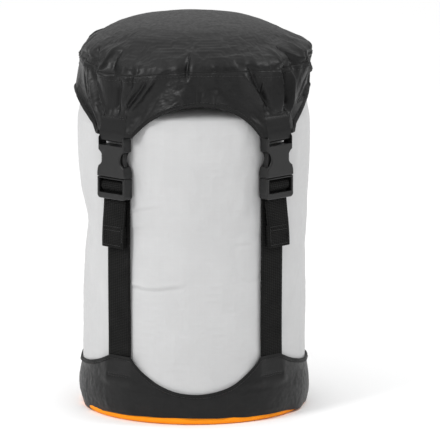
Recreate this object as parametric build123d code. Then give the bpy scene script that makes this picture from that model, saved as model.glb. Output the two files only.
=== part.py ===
"""Compression stuff sack: a roll-top fabric sack under a strapped, flip-open compression lid.

Millimetres, +Z up, front towards -Y, origin on the floor at the middle of the base.
Everything that belongs to one strap is modelled at the front of the sack, where x runs along
the sack's skin and -y points outwards, and is then turned about Z to the strap's own bearing.
"""

from build123d import *
import math
import os

# ---- sack -------------------------------------------------------------------------------
HEIGHT = 270.0  # floor to the crown of the lid
WALL = 1.2  # fabric and its seam allowance, as one thickness
BODY_R = 76.4  # lower half of the sack
WAIST_R = 74.6  # where the filled sack pulls in
CHEST_R = 78.5  # fullest girth, just under the lid
BASE_TOP = 6.0  # seam between base panel and body
SHOULDER_Z = 203.0  # where the body starts to close in
NECK_TOP = 230.5  # mouth, just under the roll
MOUTH = (62.0, 4.2)  # half length and half width of the mouth
FLAT_R = 65.0  # flat part of the base

# ---- straps and their bearings ----------------------------------------------------------
STRAP_TURN = 42.2  # degrees from front or rear centre
WEB = 20.0  # webbing width
WEB_T = 1.4  # webbing thickness
STRAP_IN = 75.5  # inner face of the strap, from the axis
STRAP_FOOT = 27.0  # lower end, sewn under the cradle
FACET_IN = 75.3  # flats that the straps press into the body

# ---- cradle and lid skirt ---------------------------------------------------------------
CRADLE_R = 77.8  # inner radius
CRADLE_PEAK = 44.5  # top edge at a strap
SKIRT_R = 78.9  # inner radius of the lid
SKIRT_T = 1.0
SKIRT_SPLIT = 215.0  # the closed band is above, the four fabric tabs below
TAB_FOOT = 196.0
SEAM_Z = 240.0  # seam between skirt and crown
BIND = 3.0  # width of the edge tape
BIND_T = 0.55

# ---- side release buckle ----------------------------------------------------------------
BUCKLE_W = 25.0
BUCKLE_T = 8.0
BUCKLE_N = 81.0  # distance of its middle plane from the axis
SLOT_W = 20.8  # every slot that takes the webbing
SPLIT_Z = 167.5  # mouth of the socket
SOCKET_TOP = 195.8
FLARE_Z = 170.0  # the socket narrows above this, from the full width to its shank
SHANK = 11.4  # half width of the socket above its flare
CORNER_R = 2.4  # rounding of the socket's upper corners
FRAME_FOOT = 152.6
BAR_Z = 162.1  # centre of the round top of the ladder bar
WINDOW_TOP = 166.3  # upper edge of the ladder frame's window
BAR_N = BUCKLE_N - 2.8
BAR_R = 1.2
PRONG_X, PRONG_Z, PRONG_R = 8.5, 170.8, 1.1  # flexure at a prong's root
LOCK_LIFT = 21.4  # the rear ladder locks sit this much higher than the front frames
TAIL_END = 118.5
HEM = 16.0  # folded end of a tail
SMALL = 0.75  # scale of the roll-top's own buckle

# ---- roll-top ---------------------------------------------------------------------------
ROLL_HALF = 11.0  # half width of the flattened roll
ROLL_T = 8.0
ROLL_X = 58.0  # where the roll turns up and back
ROLL_END = 30.0
TURN_R = 5.0  # inner radius of the turn

BEARINGS = {
    "front_left": -STRAP_TURN,
    "front_right": STRAP_TURN,
    "rear_left": STRAP_TURN - 180.0,
    "rear_right": 180.0 - STRAP_TURN,
}
FRONT = ("front_left", "front_right")
REAR = ("rear_left", "rear_right")
PARTS = {}


def keep(name, shape):
    """Remember a finished piece under its node name."""
    PARTS[name] = shape


def at(bearing, shape):
    """Turn a piece modelled at the front to a strap's bearing."""
    return Rot(0, 0, bearing) * shape


def block(x0, x1, n0, n1, z0, z1):
    """Box at the front of the sack, from n0 to n1 outwards from the axis."""
    middle = Pos((x0 + x1) / 2, -(n0 + n1) / 2, (z0 + z1) / 2)
    return middle * Box(abs(x1 - x0), abs(n1 - n0), abs(z1 - z0))


def face_of(*edges):
    """Face in the x-z plane inside a closed run of edges."""
    return Plane.XZ * make_face(Curve() + list(edges))


def front_plate(outline, n0, n1):
    """Outline in x and z, standing from n0 to n1 outwards."""
    return extrude(Plane.XZ.offset(n0) * outline, n1 - n0)


def side_plate(outline, half_width):
    """Outline in n and z, as wide as a strap: its x is the distance outwards."""
    section = Plane(origin=(half_width, 0, 0), x_dir=(0, -1, 0), z_dir=(-1, 0, 0))
    return extrude(section * outline, 2 * half_width)


def ring(r0, r1, z0, z1):
    """Plain round band."""
    band = Cylinder(r1, z1 - z0) - Cylinder(r0, z1 - z0)
    return Pos(0, 0, (z0 + z1) / 2) * band


def oval_bar(half, rise, z, along_x):
    """Long elliptical bar across the sack, which cuts two opposite scoops."""
    plane = Plane.YZ if along_x else Plane.XZ
    return extrude(Pos(0, 0, z) * (plane * Ellipse(half, rise)), 100, both=True)


# ---- sack body, base and seams ----------------------------------------------------------
def filled(inset):
    """Solid of the filled sack's outer shape, drawn in by an inset, with the four strap flats."""
    t = inset
    foot, swell, hip = (75.1 - t, BASE_TOP), (77.2 - t, 18), (BODY_R - t, 60)
    chest, shoulder = (77.8 - t, 168), (CHEST_R - t, SHOULDER_Z)
    brow, top = (62 - t / 3, 226 - t), (0, 228 - t)
    face = face_of(
        ThreePointArc(foot, (76.6 - t, 11.5), swell),
        Line(swell, hip),
        ThreePointArc(hip, (WAIST_R - t, 118), chest),
        Line(chest, shoulder),
        ThreePointArc(shoulder, (74.6 - 0.8 * t, 218 - 0.7 * t), brow),
        Line(brow, top),
        Line(top, (0, BASE_TOP)),
        Line((0, BASE_TOP), foot),
    )
    solid = revolve(face, Axis.Z)
    reach = FACET_IN - inset
    press = make_face(
        Polyline(
            (reach, 20), (reach, 196), (reach - 2.4, 209), (reach - 6, 221),
            (reach - 6, 240), (reach + 20, 240), (reach + 20, 20), close=True,
        )
    )
    for bearing in BEARINGS.values():
        solid -= at(bearing, side_plate(press, 45))
    return solid


def sack_body():
    """Hollow body: a tube that closes to a flat neck with a long narrow mouth."""
    half, width = MOUTH
    neck = Pos(0, 0, 222) * extrude(SlotOverall(2 * (half + WALL), 2 * (width + WALL)), NECK_TOP - 222)
    slit = Pos(0, 0, 200) * extrude(SlotOverall(2 * half, 2 * width), 60)
    shell = filled(0) + neck
    return shell - filled(WALL) - slit


def base_panel():
    """Shallow round dish that the sack stands on."""
    corner = 11.5
    centre = (FLAT_R, corner)
    lift = math.asin((corner - BASE_TOP) / corner)
    half = (math.pi / 2 + lift) / 2

    def on(radius, angle):
        return (centre[0] + radius * math.cos(angle), centre[1] - radius * math.sin(angle))

    inner = corner - WALL
    face = face_of(
        Line((0, 0), (FLAT_R, 0)),
        ThreePointArc((FLAT_R, 0), on(corner, half), on(corner, lift)),
        Line(on(corner, lift), on(inner, lift)),
        ThreePointArc(on(inner, lift), on(inner, half), (FLAT_R, WALL)),
        Line((FLAT_R, WALL), (0, WALL)),
        Line((0, WALL), (0, 0)),
    )
    return revolve(face, Axis.Z) - ring(60, 90, BASE_TOP, 20)


def side_seam_tape():
    """Sealing tape over the body's one upright seam, inside at the rear."""
    strip = Pos(0, 70, 90) * Box(16, 20, 130)
    return (filled(WALL + 0.1) - filled(WALL + 0.5)) & strip


def base_seam_tape():
    """Sealing tape inside the base seam."""
    return ring(71.4, 71.8, BASE_TOP, BASE_TOP + 12)


def above_cradle_edge(drop):
    """Everything above the cradle's scooped top edge, moved down by a drop."""
    top = Pos(0, 0, CRADLE_PEAK - drop + 30) * Box(200, 200, 60)
    front = oval_bar(47, 36.2, 57.5 - drop, along_x=False)
    sides = oval_bar(56, 17.4, 50.4 - drop, along_x=True)
    return top + front + sides


def base_cradle():
    """Dark reinforcing band round the foot, scooped between the straps."""
    outer = CRADLE_R + WALL
    face = face_of(
        ThreePointArc((74.6, 4), (76.7, 10), (CRADLE_R, 18)),
        Line((CRADLE_R, 18), (CRADLE_R, 50)),
        Line((CRADLE_R, 50), (outer, 50)),
        Line((outer, 50), (outer, 18)),
        ThreePointArc((outer, 18), (77.9, 10), (75.8, 4)),
        Line((75.8, 4), (74.6, 4)),
    )
    return revolve(face, Axis.Z) - above_cradle_edge(0)


def cradle_binding():
    """Tape along the cradle's scooped edge."""
    inner = CRADLE_R + WALL + 0.05
    band = ring(inner, inner + BIND_T, 15, 50)
    return (band - above_cradle_edge(0)) & above_cradle_edge(BIND)


# ---- lid --------------------------------------------------------------------------------
def below_lid_edge(rise):
    """Everything below the skirt's scooped lower edge, moved up by a rise."""
    low = Pos(0, 0, TAB_FOOT + rise - 30) * Box(200, 200, 60)
    front = oval_bar(45, 37, 181.2 + rise, along_x=False)
    sides = oval_bar(50, 32.5, 182.5 + rise, along_x=True)
    return low + front + sides


def dome(inset):
    """Solid under the lid's top panel, drawn in by an inset."""
    t = inset
    foot = (SKIRT_R + SKIRT_T - t, SEAM_Z + 1.8 - t)
    rim, brow = (70 - 0.7 * t, 256.2 - 0.7 * t), (45 - 0.3 * t, 266.9 - t)
    flat, top = (8, HEIGHT - t), (0, HEIGHT - t)
    face = face_of(
        ThreePointArc(foot, (77.6 - 0.9 * t, 249.3 - 0.4 * t), rim),
        ThreePointArc(rim, (58.5 - 0.5 * t, 262.3 - 0.9 * t), brow),
        ThreePointArc(brow, (25, 269.2 - t), flat),
        Line(flat, top),
        Line(top, (0, foot[1])),
        Line((0, foot[1]), foot),
    )
    return revolve(face, Axis.Z)


def lid_crown():
    """Domed top panel."""
    return dome(0) - dome(SKIRT_T)


def lid_piping():
    """Corded seam between crown and skirt."""
    section = Pos(SKIRT_R + 0.9, SEAM_Z + 0.9) * RectangleRounded(2.2, 1.8, 0.6)
    return revolve(Plane.XZ * section, Axis.Z)


def lid_skirt():
    """Closed upper band of the skirt."""
    return ring(SKIRT_R, SKIRT_R + SKIRT_T, SKIRT_SPLIT, SEAM_Z) - below_lid_edge(0)


def lid_bindings():
    """Tapes along the skirt's scooped edge: one arch between each pair of tabs."""
    inner = SKIRT_R + SKIRT_T + 0.05
    band = ring(inner, inner + BIND_T, TAB_FOOT, 225)
    arches = (band - below_lid_edge(0)) & below_lid_edge(BIND)
    for bearing in BEARINGS.values():
        arches -= at(bearing, block(-11.5, 11.5, 70, 90, TAB_FOOT - 1, 202))
    across = arches.solids().sort_by(Axis.X)
    along = arches.solids().sort_by(Axis.Y)
    return {"left": across[0], "right": across[-1], "front": along[0], "rear": along[-1]}


def lid_tab(bearing):
    """Fabric wing below the skirt, with the doubled end that loops round a buckle's top bar."""
    quarter = at(bearing, block(-45, 45, 40, 100, TAB_FOOT, SKIRT_SPLIT))
    wing = (ring(SKIRT_R, SKIRT_R + SKIRT_T, TAB_FOOT, SKIRT_SPLIT) - below_lid_edge(0)) & quarter
    bar = (BUCKLE_N, SOCKET_TOP - 1.55)
    loop = Pos(*bar) * (RectangleRounded(5.0, 5.4, 1.8) - Rectangle(2.8, 3.4))
    leg = Pos(80.6, 203.4) * Rectangle(2.2, 13.8)
    doubled = side_plate(loop + leg, WEB / 2)
    return wing + at(bearing, doubled)


# ---- buckles ----------------------------------------------------------------------------
def soft_plate(outline, half_thick):
    """Plate about the buckle's middle plane with the rim of its front face eased."""
    solid = front_plate(outline, BUCKLE_N - half_thick, BUCKLE_N + half_thick)
    front = solid.faces().sort_by(Axis.Y)[0]
    return chamfer(front.edges(), 0.7)


def tab_slot():
    """Slot for the lid's tab, and the bar above it made slim enough for the tab to wrap."""
    slot = SLOT_W / 2
    bar_foot, bar_half = SOCKET_TOP - 3.1, 1.25
    cut = block(-slot, slot, 70, 92, 189.2, bar_foot)
    cut += block(-slot, slot, 70, BUCKLE_N - bar_half, bar_foot - 1, SOCKET_TOP + 1)
    return cut + block(-slot, slot, BUCKLE_N + bar_half, 92, bar_foot - 1, SOCKET_TOP + 1)


def socket():
    """Female half: a flat box, flared at its mouth, with finger cut-outs and a slot for the lid's tab."""
    half = BUCKLE_W / 2
    shoulder, top = SOCKET_TOP - CORNER_R, SHANK - CORNER_R
    bulge = CORNER_R * (1 - 2**-0.5)
    outline = make_face(
        Curve() + [
            Line((-half, SPLIT_Z), (half, SPLIT_Z)),
            Line((half, SPLIT_Z), (half, FLARE_Z)),
            ThreePointArc((half, FLARE_Z), (12.1, 172.6), (SHANK, 174.8)),
            ThreePointArc((SHANK, 174.8), (8.0, 180.1), (SHANK, 185.4)),
            Line((SHANK, 185.4), (SHANK, shoulder)),
            ThreePointArc((SHANK, shoulder), (SHANK - bulge, SOCKET_TOP - bulge), (top, SOCKET_TOP)),
            Line((top, SOCKET_TOP), (-top, SOCKET_TOP)),
            ThreePointArc((-top, SOCKET_TOP), (bulge - SHANK, SOCKET_TOP - bulge), (-SHANK, shoulder)),
            Line((-SHANK, shoulder), (-SHANK, 185.4)),
            ThreePointArc((-SHANK, 185.4), (-8.0, 180.1), (-SHANK, 174.8)),
            ThreePointArc((-SHANK, 174.8), (-12.1, 172.6), (-half, FLARE_Z)),
            Line((-half, FLARE_Z), (-half, SPLIT_Z)),
        ]
    )
    solid = soft_plate(outline, BUCKLE_T / 2)
    slot = SLOT_W / 2
    cavity = block(-slot, slot, BUCKLE_N - 2.55, BUCKLE_N + 2.55, SPLIT_Z - 1, 187.2)
    return solid - cavity - tab_slot()


def ladder_frame(lift, top):
    """Frame with a lower bar in front of the webbing and a round-topped bar that the webbing turns over."""
    half, slot = BUCKLE_W / 2, SLOT_W / 2
    foot = FRAME_FOOT + lift
    outline = make_face(
        Curve() + [
            ThreePointArc((-10.4, foot), (-12.0, foot + 1.0), (-half, foot + 3.4)),
            Line((-half, foot + 3.4), (-half, top)),
            Line((-half, top), (half, top)),
            Line((half, top), (half, foot + 3.4)),
            ThreePointArc((half, foot + 3.4), (12.0, foot + 1.0), (10.4, foot)),
            Line((10.4, foot), (-10.4, foot)),
        ]
    )
    solid = soft_plate(outline, BUCKLE_T / 2 - 0.2)
    back = block(-slot, slot, 70, BUCKLE_N + 0.3, foot - 1, WINDOW_TOP + lift)
    window = block(-slot, slot, 70, 92, foot + 4.2, WINDOW_TOP + lift)
    section = Pos(BAR_N, BAR_Z + lift - 1.3) * Rectangle(2 * BAR_R, 2.6)
    section += Pos(BAR_N, BAR_Z + lift) * Circle(BAR_R)
    return solid - back - window + side_plate(section, slot + 0.5)


def front_frame():
    """Male half without its prongs: ladder frame, root block and centre guide."""
    flange = SPLIT_Z - 0.3
    root = block(-10.0, 10.0, BUCKLE_N - 2.1, BUCKLE_N + 2.1, flange - 1, 169.4)
    guide = block(-1.8, 1.8, BUCKLE_N - 1.9, BUCKLE_N + 1.9, 169, 184)
    return ladder_frame(0, flange) + root + guide


def prong(side):
    """Sprung arm with an arrow head; side is 1 for the right-hand one and -1 for the left."""
    heel = PRONG_X + PRONG_R
    toe = PRONG_X - PRONG_R
    arm = make_face(
        Polyline(
            (toe, PRONG_Z), (heel, PRONG_Z), (heel, 173.2), (10.1, 174.6), (10.1, 181.4),
            (9.0, 185.6), (7.6, 186.2), (6.7, 184.6), (6.7, 175.6), (toe, 173.4), close=True,
        )
    )
    arm += Pos(PRONG_X, PRONG_Z) * Circle(PRONG_R)
    solid = front_plate(arm, BUCKLE_N - 1.8, BUCKLE_N + 1.8)
    return solid if side > 0 else mirror(solid, Plane.YZ)


def ladder_lock():
    """Rear adjuster: the same ladder frame with a slot above it for the lid's tab."""
    return ladder_frame(LOCK_LIFT, SOCKET_TOP) - tab_slot()


def turned_web(n, z, bore, thick, back, front):
    """Section of webbing turned over a bar at (n, z), its two legs ending at heights back and front."""
    sign = 1 if back < z else -1
    turn = Circle(bore + thick) - Circle(bore) - Pos(0, -sign * 10) * Rectangle(20, 20)
    section = Pos(n, z) * turn
    for side, end in ((-1, back), (1, front)):
        section += Pos(n + side * (bore + thick / 2), (z + end) / 2) * Rectangle(thick, abs(z - end))
    return section


def strap(lift):
    """Webbing from under the cradle, up behind the frame, over its bar and out below it."""
    bore = BAR_N - STRAP_IN - WEB_T
    section = turned_web(BAR_N, BAR_Z + lift, bore, WEB_T, STRAP_FOOT, FRAME_FOOT + lift - 0.4)
    return side_plate(section, WEB / 2)


def tail(lift):
    """Loose end of the webbing, hemmed double at its tip."""
    front = 2 * BAR_N - STRAP_IN - WEB_T / 2
    top = FRAME_FOOT + lift - 1.3
    end = TAIL_END + lift
    single = Pos(front, (top + end) / 2) * Rectangle(WEB_T, top - end)
    hem = Pos(front - WEB_T / 2, end + HEM / 2) * Rectangle(2 * WEB_T, HEM)
    return side_plate(single + hem, WEB / 2)


# ---- roll-top ---------------------------------------------------------------------------
def roll():
    """Mouth of the sack rolled flat, with both ends turned up and back over it."""
    z0 = NECK_TOP
    z1 = z0 + ROLL_T + TURN_R
    outer = TURN_R + ROLL_T
    lower = Pos(0, z0 + ROLL_T / 2) * Rectangle(2 * ROLL_X, ROLL_T)
    outline = lower
    for side in (-1, 1):
        turn = Circle(outer) - Circle(TURN_R)
        turn = Pos(side * ROLL_X, z1) * (turn - Pos(-side * 20, 0) * Rectangle(40, 40))
        top = Pos(side * (ROLL_X + ROLL_END) / 2, z1 + TURN_R + ROLL_T / 2)
        outline += turn + top * Rectangle(ROLL_X - ROLL_END, ROLL_T)
    solid = extrude(Plane.XZ * outline, ROLL_HALF, both=True)
    long_edges = [e for e in solid.edges() if abs(abs(e.center().Y) - ROLL_HALF) < 0.01]
    return fillet(long_edges, 1.6)


def on_roll(shape):
    """Lay a buckle piece, modelled upright, across the gap in the roll at its smaller scale."""
    middle = (FRAME_FOOT + SOCKET_TOP) / 2 * SMALL
    small = Pos(0, BUCKLE_N * SMALL, -middle) * scale(shape, by=SMALL)
    height = NECK_TOP + 1.5 * ROLL_T + 2 * TURN_R
    return Pos(0, 0, height) * (Rot(0, 0, -90) * (Rot(-90, 0, 0) * small))


def roll_tab_left():
    """Webbing from the rolled end, turned over the ladder bar of the small buckle."""
    end = (FRAME_FOOT + SOCKET_TOP) / 2 - ROLL_END / SMALL
    return on_roll(side_plate(turned_web(BAR_N, BAR_Z, 1.3, WEB_T, end, end), WEB / 2))


def roll_tab_right():
    """Webbing from the rolled end, turned round the socket bar of the small buckle."""
    end = (FRAME_FOOT + SOCKET_TOP) / 2 + ROLL_END / SMALL
    return on_roll(side_plate(turned_web(BUCKLE_N, SOCKET_TOP - 3.1, 1.4, 1.2, end, end), WEB / 2))


def stiffener():
    """Plastic strip along the roll."""
    return Pos(0, 0, NECK_TOP + ROLL_T + 0.5) * Box(2 * ROLL_X - 4, 2 * ROLL_HALF - 4, 1.0)


# ---- the whole object -------------------------------------------------------------------
keep("sack_body", sack_body())
keep("base_panel", base_panel())
keep("base_cradle", base_cradle())
keep("cradle_binding", cradle_binding())
keep("side_seam_tape", side_seam_tape())
keep("base_seam_tape", base_seam_tape())
keep("lid_crown", lid_crown())
keep("lid_piping", lid_piping())
keep("lid_skirt", lid_skirt())
for place, arch in lid_bindings().items():
    keep(f"lid_binding_{place}", arch)
for place, bearing in BEARINGS.items():
    lift = 0 if place in FRONT else LOCK_LIFT
    keep(f"strap_{place}", at(bearing, strap(lift)))
    keep(f"tail_{place}", at(bearing, tail(lift)))
    keep(f"lid_tab_{place}", lid_tab(bearing))
for place in FRONT:
    bearing = BEARINGS[place]
    keep(f"socket_{place}", at(bearing, socket()))
    keep(f"frame_{place}", at(bearing, front_frame()))
    keep(f"prong_{place}_a", at(bearing, prong(-1)))
    keep(f"prong_{place}_b", at(bearing, prong(1)))
for place in REAR:
    keep(f"ladder_lock_{place}", at(BEARINGS[place], ladder_lock()))
keep("rolltop_roll", roll())
keep("rolltop_stiffener", stiffener())
keep("rolltop_socket", on_roll(socket()))
keep("rolltop_frame", on_roll(front_frame()))
keep("rolltop_prong_a", on_roll(prong(-1)))
keep("rolltop_prong_b", on_roll(prong(1)))
keep("rolltop_tab_left", roll_tab_left())
keep("rolltop_tab_right", roll_tab_right())

os.makedirs("parts", exist_ok=True)
for name, shape in PARTS.items():
    export_step(shape, f"parts/{name}.step")
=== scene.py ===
"""Looks of the compression stuff sack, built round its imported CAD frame.

Shapes are worked out in millimetres, with the sack's own bearings: bearing 0 is the front (-Y), and a
bearing grows towards +X. Meshes are turned into metres when they are made.
"""

import math

import bpy
import numpy as np
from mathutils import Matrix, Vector


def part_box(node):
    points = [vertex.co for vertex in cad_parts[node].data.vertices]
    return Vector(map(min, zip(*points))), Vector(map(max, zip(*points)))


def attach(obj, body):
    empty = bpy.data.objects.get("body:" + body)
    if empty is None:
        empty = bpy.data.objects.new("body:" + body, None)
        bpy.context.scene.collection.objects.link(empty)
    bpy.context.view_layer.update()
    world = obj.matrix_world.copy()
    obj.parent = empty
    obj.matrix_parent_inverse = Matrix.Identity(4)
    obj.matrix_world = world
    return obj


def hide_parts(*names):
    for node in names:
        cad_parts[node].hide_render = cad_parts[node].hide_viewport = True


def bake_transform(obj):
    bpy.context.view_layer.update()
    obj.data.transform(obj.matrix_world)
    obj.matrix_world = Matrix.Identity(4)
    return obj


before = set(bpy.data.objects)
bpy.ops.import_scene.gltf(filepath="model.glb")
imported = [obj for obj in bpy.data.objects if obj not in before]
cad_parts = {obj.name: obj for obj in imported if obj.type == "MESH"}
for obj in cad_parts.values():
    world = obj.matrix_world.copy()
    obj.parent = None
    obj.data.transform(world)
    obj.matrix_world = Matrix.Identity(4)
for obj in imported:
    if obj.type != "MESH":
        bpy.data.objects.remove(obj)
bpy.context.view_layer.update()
MM = 0.001

PLACES = ("front_left", "front_right", "rear_left", "rear_right")


def cad_box(node):
    """Lowest and highest corner of a CAD node, in millimetres."""
    low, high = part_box(node)
    return np.array(low) / MM, np.array(high) / MM


def bearing_of(node):
    """Bearing of a CAD node's middle, in radians."""
    low, high = cad_box(node)
    middle = (low + high) / 2
    return math.atan2(middle[0], -middle[1])


BEARING = {place: bearing_of(f"strap_{place}") for place in PLACES}
SEAM_Z = cad_box("lid_piping")[0][2] + 1.0
TAB_END = cad_box("lid_tab_front_left")[0][2] + 0.1
TAB_Z = TAB_END + 4.5
CRADLE_TOP = cad_box("base_cradle")[1][2]
CRADLE_FOOT = cad_box("base_cradle")[0][2]
FRAME_FOOT = cad_box("frame_front_left")[0][2]
LOCK_LIFT = cad_box("strap_rear_left")[1][2] - cad_box("strap_front_left")[1][2]
STRAP_TOP = cad_box("strap_front_left")[1][2]
STRAP_FOOT = cad_box("strap_front_left")[0][2]
NECK_TOP = cad_box("sack_body")[1][2]
STRAP_N = 75.5  # inner face of a strap, from the axis
BAR_N = 78.2  # bar that the webbing turns over
WEB_HALF = 10.0
WEB_T = 1.4
# Radii at which lengths along each skin are taken.
BODY_SKIN, CRADLE_SKIN, FOLD_SKIN, LID_SKIN = 77.0, 78.0, 79.5, 79.9
FOLD_R = 79.0  # radius the lid's folds are laid out on
TAB_HALF = 10.35
HALF_TURN, FULL_TURN = math.pi, 2 * math.pi


# ---- numbers ----------------------------------------------------------------------------
def curve(points, x):
    """Smooth curve through (x, y) points, without overshoot between them."""
    px, py = np.array(points, float).T
    slope = np.diff(py) / np.diff(px)
    same_way = slope[1:] * slope[:-1] > 0
    inner = np.zeros(len(same_way))
    inner[same_way] = 2 * slope[1:][same_way] * slope[:-1][same_way] / (slope[1:] + slope[:-1])[same_way]
    tangent = np.concatenate([[slope[0]], inner, [slope[-1]]])
    x = np.clip(np.asarray(x, float), px[0], px[-1])
    i = np.clip(np.searchsorted(px, x) - 1, 0, len(px) - 2)
    h = px[i + 1] - px[i]
    t = (x - px[i]) / h
    a, b = 2 * t**3 - 3 * t**2 + 1, t**3 - 2 * t**2 + t
    c, d = 3 * t**2 - 2 * t**3, t**3 - t**2
    return a * py[i] + b * h * tangent[i] + c * py[i + 1] + d * h * tangent[i + 1]


def spread(path, where):
    """Each column of a path of points, smoothed and read at shares (0 to 1) of its length."""
    share = np.linspace(0, 1, len(path))
    return [curve(np.stack([share, column], 1), where) for column in np.array(path, float).T]


def step(low, high, x):
    """0 before low, 1 after high, smooth between; low may be above high."""
    t = np.clip((x - low) / (high - low), 0, 1)
    return t * t * (3 - 2 * t)


def bump(x, width):
    """Bell about 0."""
    return np.exp(-((x / width) ** 2))


def soft_min(a, b, width):
    """The smaller of two, rounded where they cross."""
    return -width * np.logaddexp(-a / width, -b / width)


def ring_of(count):
    """Bearings of a number of columns round the sack, as one row."""
    return np.linspace(-math.pi, math.pi, count, endpoint=False)[None, :]


def bearing_apart(bearing, centre):
    """Signed angle from a centre, between minus half a turn and half a turn."""
    return (bearing - centre + HALF_TURN) % FULL_TURN - HALF_TURN


class Noise:
    """Smooth random field about 0; it repeats after a whole turn of its first direction."""

    def __init__(self, seed, around=64, along=64):
        self.grid = np.random.default_rng(seed).uniform(-1, 1, (around, along))

    def __call__(self, u, v):
        """Value at u and v, both counted in cells."""
        u, v = np.broadcast_arrays(np.asarray(u, float), np.asarray(v, float))
        iu, iv = np.floor(u).astype(int), np.floor(v).astype(int)
        total = 0.0
        for a, wu in enumerate(self.weights(u - iu)):
            for b, wv in enumerate(self.weights(v - iv)):
                cell = self.grid[(iu + a) % self.grid.shape[0], (iv + b) % self.grid.shape[1]]
                total = total + wu * wv * cell
        return 1.9 * total

    @staticmethod
    def weights(t):
        """Cubic B-spline weights of four neighbours."""
        return (1 - t) ** 3 / 6, (3 * t**3 - 6 * t**2 + 4) / 6, (3 * (t + t * t - t**3) + 1) / 6, t**3 / 6


def ring_noise(seed, around, bearing, z, cell):
    """Noise round the sack: a number of cells in a full turn, and a cell height in millimetres."""
    return Noise(seed, around, 97)(bearing / (2 * math.pi) * around + 4 * around, z / cell + 500)


def off_strap(bearing, radius):
    """Signed distance along the skin from the nearest strap's centre line."""
    best = np.full(np.shape(bearing), 1e9)
    for centre in BEARING.values():
        away = bearing_apart(bearing, centre)
        best = np.where(np.abs(away) < np.abs(best), away, best)
    return best * radius


def from_polar(bearing, radius, z):
    """Points from bearing, radius and height."""
    return np.stack(np.broadcast_arrays(radius * np.sin(bearing), -radius * np.cos(bearing), z), -1)


def width_way(place):
    """Unit vector across a strap."""
    return np.array([math.cos(BEARING[place]), math.sin(BEARING[place]), 0.0])


def out_way(place):
    """Unit vector out of the sack at a strap."""
    return np.array([math.sin(BEARING[place]), -math.cos(BEARING[place]), 0])


def strap_point(place, s, n, z):
    """Point given along the skin, outwards from the axis and upwards, at a strap's bearing."""
    a = BEARING[place]
    s, n, z = np.broadcast_arrays(s, n, z)
    return np.stack([n * math.sin(a) + s * math.cos(a), -n * math.cos(a) + s * math.sin(a), z], -1)


# ---- meshes -----------------------------------------------------------------------------
def mesh_piece(name, points, faces, uvs, material):
    """Smooth-shaded mesh object: points in millimetres, faces, and a UV in metres for each face corner."""
    mesh = bpy.data.meshes.new(name)
    if isinstance(faces, np.ndarray):
        faces = faces.tolist()
    mesh.from_pydata((np.asarray(points) * MM).tolist(), [], faces)
    layer = mesh.uv_layers.new(name="UVMap")
    layer.data.foreach_set("uv", np.asarray(uvs, np.float32).ravel())
    mesh.shade_smooth()
    piece = bpy.data.objects.new(name, mesh)
    bpy.context.scene.collection.objects.link(piece)
    if material:
        mesh.materials.append(material)
    return piece


def grid_piece(name, points, material, wrap=False, wrap_rows=False):
    """Mesh from a grid of points, whose UVs follow the cloth's own lengths."""
    rows, cols = points.shape[:2]
    across = np.linalg.norm(np.diff(points, axis=1), axis=2).mean(0)
    down = np.linalg.norm(np.diff(points, axis=0), axis=2).mean(1)
    if wrap:
        across = np.append(across, across[-1])
    if wrap_rows:
        down = np.append(down, down[-1])
    u = np.concatenate([[0], np.cumsum(across)])
    v = np.concatenate([[0], np.cumsum(down)])
    i, j = np.meshgrid(np.arange(len(v) - 1), np.arange(len(u) - 1), indexing="ij")
    i, j = i.ravel(), j.ravel()
    corners = [(i, j), (i, j + 1), (i + 1, j + 1), (i + 1, j)]
    faces = np.stack([(a % rows) * cols + (b % cols) for a, b in corners], 1)
    uvs = np.stack([np.stack([u[b], v[a]], 1) for a, b in corners], 1) * MM
    return mesh_piece(name, points.reshape(-1, 3), faces, uvs, material)


def thicken(piece, thickness, rim=True):
    """Give a sheet its thickness, in millimetres."""
    modifier = piece.modifiers.new("Thickness", "SOLIDIFY")
    modifier.thickness = thickness * MM
    modifier.offset = -1.0
    modifier.use_even_offset = False
    modifier.use_rim = rim
    return piece


def frames_along(path):
    """Unit tangents of a polyline."""
    tangent = np.gradient(path, axis=0)
    return tangent / np.linalg.norm(tangent, axis=1)[:, None]


def ribbon(name, path, across, half, thick, material, columns=15):
    """Closed strip of webbing: a rounded flat section carried along a path.

    across is the width direction, one for all or one for each point of the path.
    """
    path = np.asarray(path, float)
    across = np.broadcast_to(np.asarray(across, float), path.shape)
    tangent = frames_along(path)
    normal = np.cross(across, tangent)
    normal /= np.linalg.norm(normal, axis=1)[:, None]
    x = np.linspace(-1, 1, columns)
    top = (1 - np.abs(x) ** 8) ** 0.5 * 0.5
    section = list(zip(x, top))
    section += list(zip(x[::-1][1:-1], -top[::-1][1:-1]))
    section = np.array(section)
    sx, sn = section[:, 0] * half, section[:, 1] * thick
    ring = path[:, None] + across[:, None] * sx[None, :, None] + normal[:, None] * sn[None, :, None]
    piece = grid_piece(name, ring, material, wrap=True)
    close_ends(piece, len(section))
    return piece


def close_ends(piece, around):
    """Cap the first and last ring of a swept piece."""
    mesh = piece.data
    count = len(mesh.vertices)
    first = list(range(around))[::-1]
    last = list(range(count - around, count))
    co = [v.co[:] for v in mesh.vertices]
    faces = [tuple(p.vertices) for p in mesh.polygons] + [tuple(first), tuple(last)]
    uv = np.zeros(len(mesh.loops) * 2, np.float32)
    mesh.uv_layers[0].data.foreach_get("uv", uv)
    uv = np.concatenate([uv, np.zeros(4 * around, np.float32)])
    materials = list(mesh.materials)
    mesh.clear_geometry()
    mesh.from_pydata(co, [], faces)
    layer = mesh.uv_layers.new(name="UVMap")
    layer.data.foreach_set("uv", uv)
    mesh.shade_smooth()
    if not mesh.materials:
        for material in materials:
            mesh.materials.append(material)


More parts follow.
